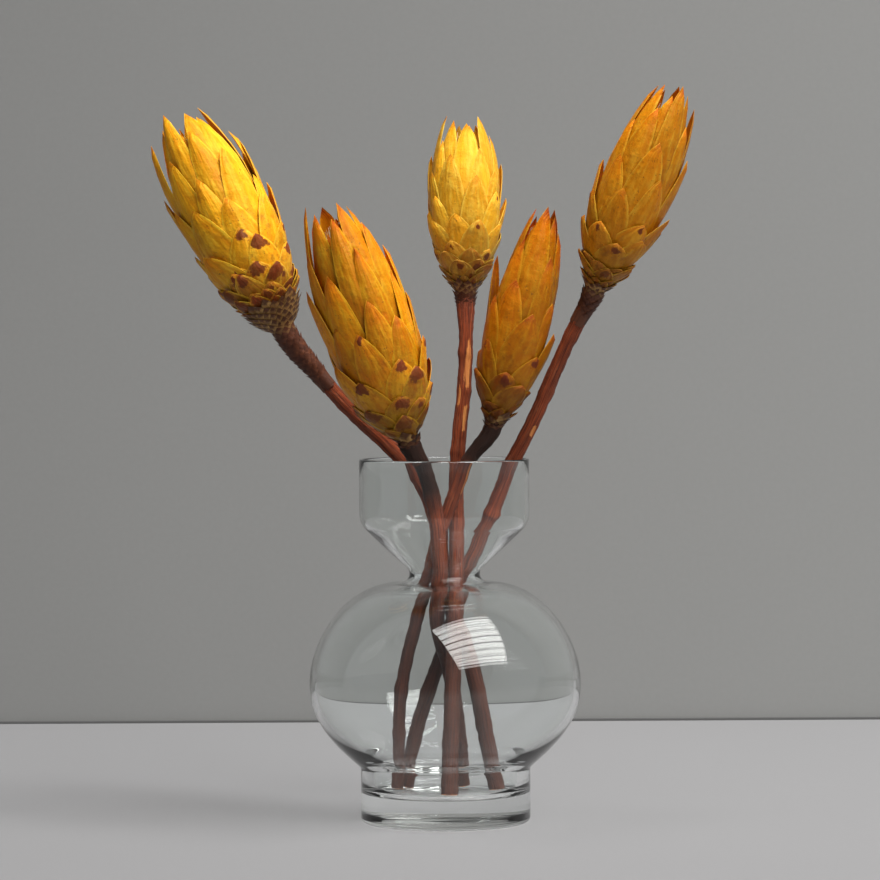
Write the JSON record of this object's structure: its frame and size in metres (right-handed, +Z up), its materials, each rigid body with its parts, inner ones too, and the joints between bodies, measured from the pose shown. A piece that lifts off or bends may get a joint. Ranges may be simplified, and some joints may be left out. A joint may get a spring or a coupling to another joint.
{
  "type": "protea flower",
  "caption": "Dried protea heads with golden pointed bracts on cut woody stems, standing in a clear glass vase with a cup, a narrow waist and a round bulb.",
  "frame": {"origin": "centre of the underside of the vase's foot, on the surface that it stands on", "axes": "+Z up along the vase's axis, -Y towards the bouquet's front, +X to the right seen from the front"},
  "size_m": [0.2371, 0.1196, 0.3248],
  "materials": {
    "glass": "clear, smooth, polished glass with a faint green tint",
    "bark": "dry red-brown bark with darker necks and torn bare streaks",
    "woody_receptacle": "dry, dark brown, woody",
    "brown_scale": "small dry brown scales with pale edges",
    "floret_down": "dry, pale, downy",
    "golden_bract": "dry, satin, golden yellow to orange with brown tips and blotches"
  },
  "bodies": {
    "root": {"vase": "glass", "far_left_stem": "bark", "far_left_receptacle": "woody_receptacle", "far_left_scales": "brown_scale", "far_left_florets": "floret_down", "far_left_bracts_outer": "golden_bract", "far_left_bracts_second": "golden_bract", "far_left_bracts_third": "golden_bract", "far_left_bracts_inner": "golden_bract", "left_stem": "bark", "left_receptacle": "woody_receptacle", "left_scales": "brown_scale", "left_florets": "floret_down", "left_bracts_outer": "golden_bract", "left_bracts_second": "golden_bract", "left_bracts_third": "golden_bract", "left_bracts_inner": "golden_bract", "centre_stem": "bark", "centre_receptacle": "woody_receptacle", "centre_scales": "brown_scale", "centre_florets": "floret_down", "centre_bracts_outer": "golden_bract", "centre_bracts_second": "golden_bract", "centre_bracts_third": "golden_bract", "centre_bracts_inner": "golden_bract", "right_stem": "bark", "right_receptacle": "woody_receptacle", "right_scales": "brown_scale", "right_florets": "floret_down", "right_bracts_outer": "golden_bract", "right_bracts_second": "golden_bract", "right_bracts_third": "golden_bract", "right_bracts_inner": "golden_bract", "far_right_stem": "bark", "far_right_receptacle": "woody_receptacle", "far_right_scales": "brown_scale", "far_right_florets": "floret_down", "far_right_bracts_outer": "golden_bract", "far_right_bracts_second": "golden_bract", "far_right_bracts_third": "golden_bract", "far_right_bracts_inner": "golden_bract"}
  },
  "joints": []
}
